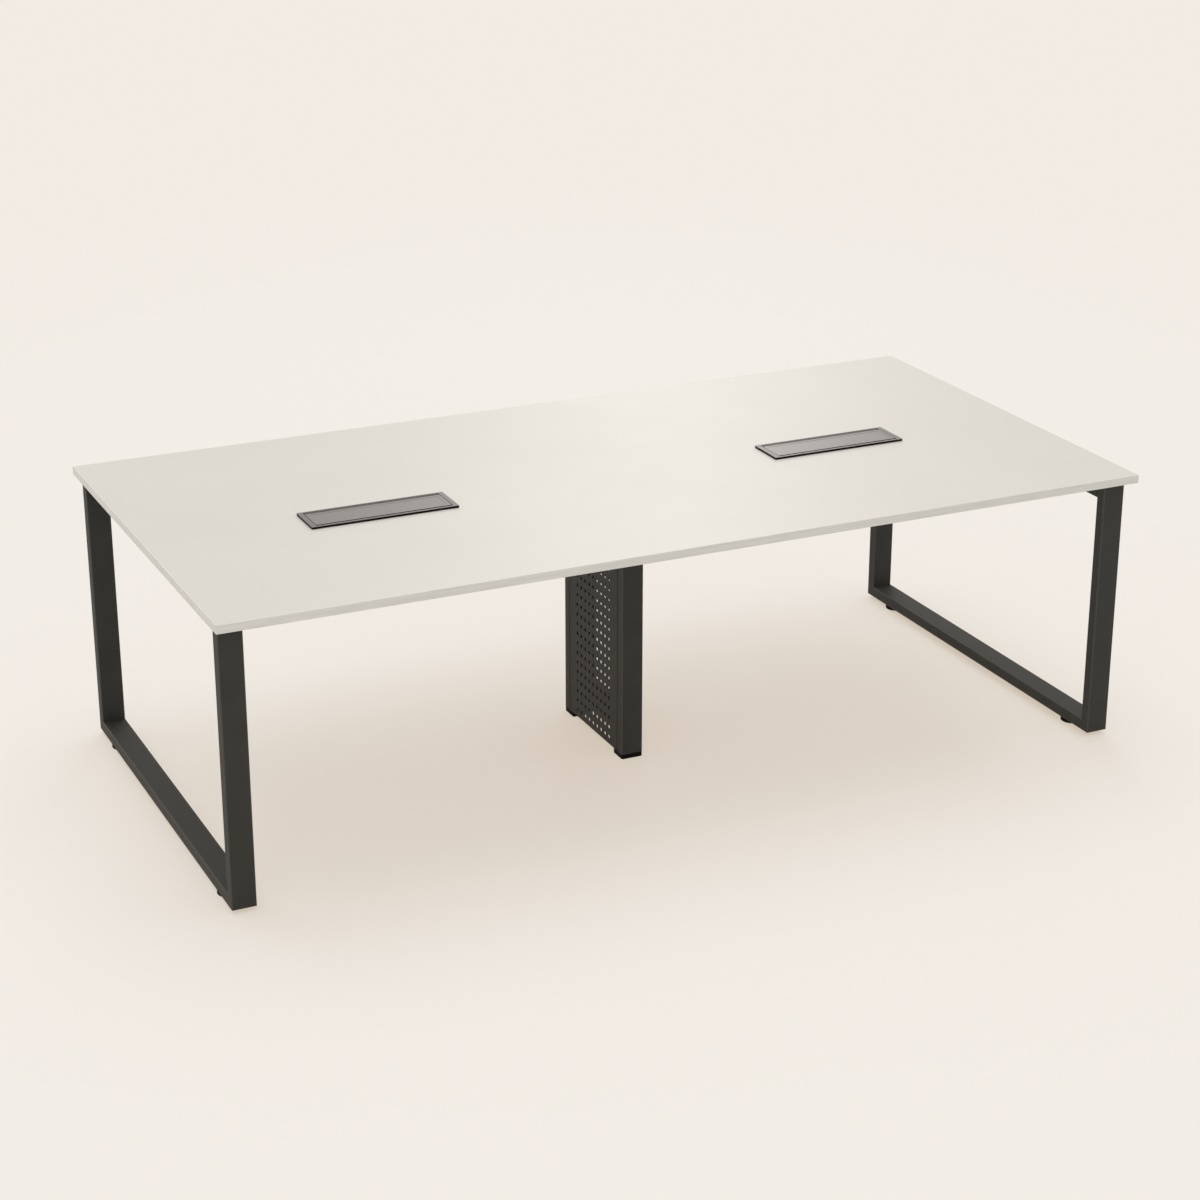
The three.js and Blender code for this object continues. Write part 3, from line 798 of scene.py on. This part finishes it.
def make_post(end, across):
    node = f"column_{end}_post"
    low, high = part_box(node)
    post = flat_sheet(f"column_{end}_upright", low, high, low.z)
    outer = low.y if across < 0 else high.y
    inner = high.y if across < 0 else low.y
    groove = outer - across * GROOVE_FROM_FACE
    rebate = inner + across * PANEL_LAP
    with editing(post):
        for y in (groove - GROOVE_WIDTH / 2, groove + GROOVE_WIDTH / 2, rebate):
            slice_at((0, y, 0), (0, 1, 0))
        for x in (low.x + PANEL_REBATE, high.x - PANEL_REBATE):
            slice_at((x, 0, 0), (1, 0, 0))

        def cut_out(face):
            at = middle(face)
            beside = at.x < low.x + PANEL_REBATE or at.x > high.x - PANEL_REBATE
            return beside and ((at.y - rebate) * across < 0 or near(at.y, groove))

        pick(post, "FACE", cut_out)
        bpy.ops.mesh.delete(type="FACE")
        bpy.ops.mesh.select_all(action="SELECT")
        pull(z=high.z - low.z)
        face_out()
    sides = (low.x, high.x)

    def corner(edge):
        at = middle(edge)
        return runs(edge, Z_AXIS) and near(at.y, outer) and any(near(at.x, x) for x in sides)

    round_off(post, POST_RADIUS, steps=6, test=corner)
    hand_over(post, "powder_coat", "table", node)


def hole_cell(name):
    """A field of sheet with one round hole, lying flat about the origin."""
    reach = Vector((HOLE_PITCH_ACROSS, HOLE_PITCH_UP)) / 2
    cell = flat_sheet(name, -reach, reach, 0)
    with editing(cell):
        bpy.ops.mesh.subdivide(number_cuts=HOLE_STEPS // 4 - 1)
        pick(cell, "VERT", lambda v: inside(v.co, grown((-reach, reach), -SAME_PLACE)))
        bpy.ops.mesh.delete(type="VERT")
        bpy.ops.mesh.primitive_circle_add(vertices=HOLE_STEPS, radius=HOLE_RADIUS)
        bpy.ops.mesh.select_mode(type="EDGE")
        bpy.ops.mesh.select_all(action="SELECT")
        bpy.ops.mesh.bridge_edge_loops()
    return cell


def make_panels():
    low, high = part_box("column_left_panel")
    panel = hole_cell("column_left_perforated_panel")
    repeat(panel, X_AXIS, HOLE_COLUMNS, HOLE_PITCH_ACROSS)
    repeat(panel, Y_AXIS, HOLE_ROWS, HOLE_PITCH_UP)
    left, foot = -HOLE_PITCH_ACROSS / 2, -HOLE_PITCH_UP / 2
    right, head = left + HOLE_COLUMNS * HOLE_PITCH_ACROSS, foot + HOLE_ROWS * HOLE_PITCH_UP
    side_margin = (high.y - low.y - (right - left)) / 2
    foot_margin = FIRST_HOLE_HEIGHT + foot
    head_margin = high.z - low.z - foot_margin - (head - foot)
    with editing(panel):
        for edge_x, margin in ((left, -side_margin), (right, side_margin)):
            pick(panel, "EDGE", lambda e: near(middle(e).x, edge_x))
            pull(x=margin)
        for edge_y, margin in ((foot, -foot_margin), (head, head_margin)):
            pick(panel, "EDGE", lambda e: near(middle(e).y, edge_y))
            pull(y=margin)
        face_out()
    thicken(panel, PANEL_SHEET, offset=0)
    panel.location = (-(left + right) / 2, FIRST_HOLE_HEIGHT, 0)
    place_mesh(panel)
    panel.rotation_euler = (math.pi / 2, 0, math.pi / 2)
    panel.location = (low.x + PANEL_SINK + PANEL_SHEET / 2, (low.y + high.y) / 2, low.z)
    place_mesh(panel)
    with editing(panel):
        face_out()
    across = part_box("column_right_panel")[1].x - low.x - 2 * PANEL_SINK - PANEL_SHEET
    twin = copy_of(panel, "column_right_perforated_panel", (across, 0, 0))
    for side, sheet in zip(SIDES, (panel, twin)):
        hand_over(sheet, "powder_coat", "table", f"column_{side}_panel")


def make_column_feet():
    """An end cap in each post and a levelling pad under it."""
    low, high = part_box("column_front_foot_pad")
    pad = tube("foot", low, high, Z_AXIS, FOOT_RADIUS)
    soften(pad, FOOT_EDGE)
    posts = [f"column_{end}" for end in ENDS]
    places = [(f"{post}_foot_plate", f"{post}_foot", f"{post}_foot_pad") for post in posts]
    hand_out(pad, "black_plastic", places)
    low.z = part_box("column_front_foot_cap")[0].z
    high.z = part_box("column_front_post")[0].z
    cap = tube("cap", low, high, Z_AXIS, FOOT_RADIUS)
    soften(cap, FOOT_EDGE)
    places = [(f"{post}_end_cap", "table", f"{post}_foot_cap") for post in posts]
    hand_out(cap, "black_plastic", places)


# Glides and their screws

def screw_thread(node):
    """A threaded rod: a V-shaped edge wound up along the axis and cut square at both ends."""
    low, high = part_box(node)
    centre = (low + high) / 2
    radius = (high.x - low.x) / 2
    turns = math.ceil((high.z - low.z) / THREAD_PITCH) + SPARE_TURNS
    bpy.ops.object.select_all(action="DESELECT")
    bpy.ops.mesh.primitive_plane_add(size=THREAD_PITCH, rotation=(math.pi / 2, 0, 0))
    rod = bpy.context.object
    place_mesh(rod)
    with editing(rod):
        pick(rod, "VERT", lambda v: v.co.x < 0)
        bpy.ops.mesh.delete(type="VERT")
        bpy.ops.mesh.select_mode(type="EDGE")
        bpy.ops.mesh.select_all(action="SELECT")
        bpy.ops.mesh.subdivide(number_cuts=1)
        bpy.ops.mesh.select_all(action="SELECT")
        slide(x=radius - THREAD_DEPTH - THREAD_PITCH / 2)
        pick(rod, "VERT", lambda v: near(v.co.z, 0))
        slide(x=THREAD_DEPTH)
    winding = rod.modifiers.new("thread", "SCREW")
    winding.axis = "Z"
    winding.screw_offset = THREAD_PITCH
    winding.iterations = turns
    winding.steps = THREAD_STEPS
    winding.render_steps = THREAD_STEPS
    winding.use_merge_vertices = True
    winding.merge_threshold = SAME_PLACE
    only(rod)
    bpy.ops.object.modifier_apply(modifier=winding.name)
    rod.location = (centre.x, centre.y, low.z - THREAD_PITCH)
    place_mesh(rod)
    with editing(rod):
        bpy.ops.mesh.remove_doubles(threshold=SAME_PLACE)
    cut_away(rod, [((0, 0, low.z), (0, 0, -1)), ((0, 0, high.z), (0, 0, 1))])
    with editing(rod):
        face_out()
    return rod


def make_stems():
    places = [(f"{corner}_screw", f"{corner}_stem", f"{corner}_glide_stem") for corner in CORNERS]
    hand_out(screw_thread("left_front_glide_stem"), "zinc", places)
    posts = [f"column_{end}" for end in ENDS]
    places = [(f"{post}_screw", f"{post}_stem", f"{post}_foot_stem") for post in posts]
    hand_out(screw_thread("column_front_foot_stem"), "zinc", places)


def make_glides():
    low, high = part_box("left_front_glide_pad")
    place = (low + high) / 2
    pad = round_bar("glide", place, (high.x - low.x) / 2, low.z, high.z)
    round_off(pad, GLIDE_ROUNDING, steps=4, test=lambda e: near(middle(e).z, high.z))
    round_off(pad, GLIDE_EDGE, steps=2, test=lambda e: near(middle(e).z, low.z))
    places = [(f"{corner}_foot", f"{corner}_glide", f"{corner}_glide_pad") for corner in CORNERS]
    hand_out(pad, "black_plastic", places)
    low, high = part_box("left_front_glide_insert")
    radius = (high.x - low.x) / 2
    nut = round_bar("nut", place, radius, low.z, low.z + INSERT_FLANGE)
    with editing(nut):
        pick(nut, "FACE", lambda f: abs(f.normal.z) > SQUARE_ON)
        bpy.ops.mesh.inset(thickness=radius - INSERT_BORE)
        bpy.ops.mesh.bridge_edge_loops()
    soften(nut, INSERT_EDGE)
    places = [(f"{corner}_nut", "table", f"{corner}_glide_insert") for corner in CORNERS]
    hand_out(nut, "zinc", places)


# Cable boxes

def make_bezels():
    """A black base whose side shows as a dark line, and a grey cover set back from the lid."""
    places = [(f"{side}_box_base", "table", f"{side}_box_bezel") for side in SIDES]
    low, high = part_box("left_box_bezel")
    outer = ((low.x, low.y), (high.x, high.y))
    opening = box_opening("left")
    seat = high.z - BEZEL_RISE
    cover_foot = high.z - COVER_SHEET
    base = ring("base", grown(outer, -BASE_INSET), opening, seat, cover_foot)
    skirt = ring("skirt", grown(opening, SKIRT_WALL), opening, low.z, seat)
    hand_out(joined(base, skirt), "black_plastic", places, stands_in=False)
    front_left, rear_right = opening
    reveal = (
        (front_left[0] - END_REVEAL, front_left[1] - FRONT_REVEAL),
        (rear_right[0] + END_REVEAL, rear_right[1]),
    )
    cover = ring("cover", outer, reveal, cover_foot, high.z)
    soften(cover, COVER_EDGE)
    places = [(f"{side}_box_cover", "table", f"{side}_box_bezel") for side in SIDES]
    # the covers take the darker aluminium copy, painted shade
    hand_out(cover, "shaded_aluminium", places)


def make_lids():
    """A plate with a shallow recess and two hinge ears, and a black strip along its front edge."""
    low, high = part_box("left_box_lid")
    underside = high.z - LID_THICKNESS
    strip_rear = low.y + STRIP_THICKNESS
    strip = block("strip", (low.x, low.y, underside), (high.x, strip_rear, high.z - STRIP_DROP))
    soften(strip, STRIP_EDGE)
    places = [(f"{side}_lid_strip", f"{side}_lid", f"{side}_box_lid") for side in SIDES]
    hand_out(strip, "black_plastic", places, stands_in=False)
    plate = block("lid", (low.x, strip_rear, underside), high)
    round_off(plate, LID_EDGE, steps=2, test=lambda e: near(middle(e).z, high.z))
    with editing(plate):
        pick(plate, "FACE", lambda f: f.normal.z > SQUARE_ON and near(middle(f).z, high.z))
        bpy.ops.mesh.inset(thickness=LID_BORDER)
        bpy.ops.mesh.inset(thickness=LID_SLOPE, depth=-LID_RECESS)
    hinge_y = low.y + HINGE_FROM_LID_FRONT
    foot_z = high.z - HINGE_DEPTH - EAR_REACH
    foot = (low.x, hinge_y - EAR_REACH, foot_z)
    ear = block("ear", foot, (low.x + EAR_WIDTH, hinge_y + EAR_REACH, underside))

    def at_foot(edge):
        return runs(edge, X_AXIS) and near(middle(edge).z, foot_z)

    round_off(ear, EAR_ROUNDING, steps=5, test=at_foot)
    twin = copy_of(ear, "ear", (high.x - low.x - EAR_WIDTH, 0, 0))
    lid = joined(plate, ear, twin)
    places = [(f"{side}_box_flip_lid", f"{side}_lid", f"{side}_box_lid") for side in SIDES]
    hand_out(lid, "aluminium", places)


def make_brushes():
    """A metal backing with two rows of fine bristles that reach towards the lid."""
    low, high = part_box("left_box_brush")
    back = block("brush", (low.x, high.y - BRUSH_BACK, low.z), high)
    soften(back, BRUSH_BACK_EDGE)
    places = [(f"{side}_box_brush_back", "table", f"{side}_box_brush") for side in SIDES]
    # the backings take the darker aluminium copy, painted shade
    hand_out(back, "shaded_aluminium", places, stands_in=False)
    length = high.y - BRUSH_BACK - low.y
    rows = []
    for number, drop in enumerate(BRISTLE_ROWS):
        bpy.ops.object.select_all(action="DESELECT")
        bpy.ops.mesh.primitive_cone_add(
            vertices=4, radius1=BRISTLE_RADIUS, radius2=BRISTLE_RADIUS / 2, depth=length
        )
        strand = bpy.context.object
        strand.rotation_euler = (math.pi / 2, 0, 0)
        place_mesh(strand)
        count = int((high.x - low.x) / BRISTLE_PITCH) - 1
        repeat(strand, X_AXIS, count, BRISTLE_PITCH)
        start = low.x + (1 + number / len(BRISTLE_ROWS)) * BRISTLE_PITCH
        strand.location = (start, low.y + length / 2, high.z + drop)
        place_mesh(strand)
        rows.append(strand)
    places = [(f"{side}_box_bristles", "table", f"{side}_box_brush") for side in SIDES]
    hand_out(joined(*rows), "bristle", places)


def make_trays():
    """Folded sheet: a trough with a flange along each side, screwed up under the top."""
    low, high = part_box("left_box_tray")
    inner = (low.y + TRAY_FLANGE, high.y - TRAY_FLANGE)
    tray = flat_sheet("tray", (low.x, inner[0]), (high.x, inner[1]), low.z)
    with editing(tray):
        for wall, way in zip(inner, (-1, 1)):
            pick(tray, "EDGE", lambda e: runs(e, X_AXIS) and near(middle(e).y, wall))
            pull(z=high.z - TRAY_SHEET - low.z)
            pull(y=way * TRAY_FLANGE)
        bends = [(y, z) for y in inner for z in (low.z, high.z - TRAY_SHEET)]

        def bend(edge):
            at = middle(edge)
            return runs(edge, X_AXIS) and any(near(at.y, y) and near(at.z, z) for y, z in bends)

        pick(tray, "EDGE", bend)
        bpy.ops.mesh.bevel(offset=TRAY_BEND, segments=4, affect="EDGES")
        face_out()
    thicken(tray, TRAY_SHEET, offset=1)
    places = [(f"{side}_cable_tray", "table", f"{side}_box_tray") for side in SIDES]
    hand_out(tray, "powder_coat", places)


def make_pins():
    low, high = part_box("left_box_left_pin")
    centre = (low + high) / 2
    pin = round_bar("pin", (0, 0), (high.z - low.z) / 2, 0, high.x - low.x, sides=24)
    soften(pin, PIN_EDGE)
    pin.rotation_euler = (0, math.pi / 2, 0)
    pin.location = (low.x, centre.y, centre.z)
    place_mesh(pin)
    pairs = [(box, end) for box in SIDES for end in SIDES]
    places = [(f"{box}_hinge_{end}_pin", "table", f"{box}_box_{end}_pin") for box, end in pairs]
    hand_out(pin, "zinc", places)


# Stage

def make_floor():
    """A pale floor that glows a little where it is looked at and keeps the table's shadow."""
    bpy.ops.object.select_all(action="DESELECT")
    bpy.ops.mesh.primitive_plane_add(size=FLOOR_SIZE)
    floor = bpy.context.object
    floor.name = "floor"
    look = Look("floor", {"Roughness": 1, "Specular IOR Level": 0})
    seen = look.in_view()
    look.set("Base Color", look.blend(seen, FLOOR_COLOUR, FLOOR_IN_VIEW))
    glow = look.node("ShaderNodeEmission", {}, {"Color": (*FLOOR_GLOW, 1), "Strength": 1})
    surface = Value(look, look.shader.outputs[0])
    shaders = {0: GLOW_SHARE * seen, 1: surface, 2: glow}
    look.show("Material Output", look.node("ShaderNodeMixShader", {}, shaders))
    floor.data.materials.append(look.material)


def area_light(name, place, aim, size, power, spread):
    lamp = bpy.data.lights.new(name, "AREA")
    lamp.shape = "RECTANGLE"
    lamp.size, lamp.size_y = size
    lamp.energy = power
    lamp.spread = spread
    lamp.color = LAMP_COLOUR
    holder = bpy.data.objects.new(name, lamp)
    bpy.context.scene.collection.objects.link(holder)
    holder.location = place
    holder.rotation_euler = (Vector(aim) - Vector(place)).to_track_quat("-Z", "Y").to_euler()
    holder.visible_camera = False


def make_light():
    world = bpy.data.worlds.new("room")
    bpy.context.scene.world = world
    world.use_nodes = True
    room = Nodes(world.node_tree)
    light = {"Color": (*ROOM_COLOUR, 1), "Strength": ROOM_LIGHT}
    backdrop = {"Color": (*BACKDROP_COLOUR, 1), "Strength": 1}
    ambient = room.node("ShaderNodeBackground", {}, light)
    behind = room.node("ShaderNodeBackground", {}, backdrop)
    mixed = room.node("ShaderNodeMixShader", {}, {0: room.in_view(), 1: ambient, 2: behind})
    room.show("World Output", mixed)
    sun = bpy.data.lights.new("skylight", "SUN")
    sun.energy = SKYLIGHT * math.pi
    sun.angle = SKYLIGHT_SPREAD
    skylight = bpy.data.objects.new("skylight", sun)
    skylight.rotation_euler = SKYLIGHT_TILT
    bpy.context.scene.collection.objects.link(skylight)
    for name, softbox in SOFTBOXES.items():
        area_light(name, **softbox)


def make_camera():
    lens = bpy.data.cameras.new("camera")
    lens.lens = LENS
    lens.clip_end = CAMERA_REACH
    camera = bpy.data.objects.new("camera", lens)
    bpy.context.scene.collection.objects.link(camera)
    camera.location = CAMERA_PLACE
    camera.rotation_euler = (CAMERA_AIM - CAMERA_PLACE).to_track_quat("-Z", "Y").to_euler()
    bpy.context.scene.camera = camera


make_camera()
make_floor()
make_light()
make_board()
make_edging()
make_frames()
make_bars()
make_bolts()
make_screws()
for end, across in ENDS.items():
    make_post(end, across)
make_panels()
make_column_feet()
make_glides()
make_stems()
make_bezels()
make_lids()
make_brushes()
make_trays()
make_pins()

bpy.context.scene.view_settings.view_transform = "Standard"
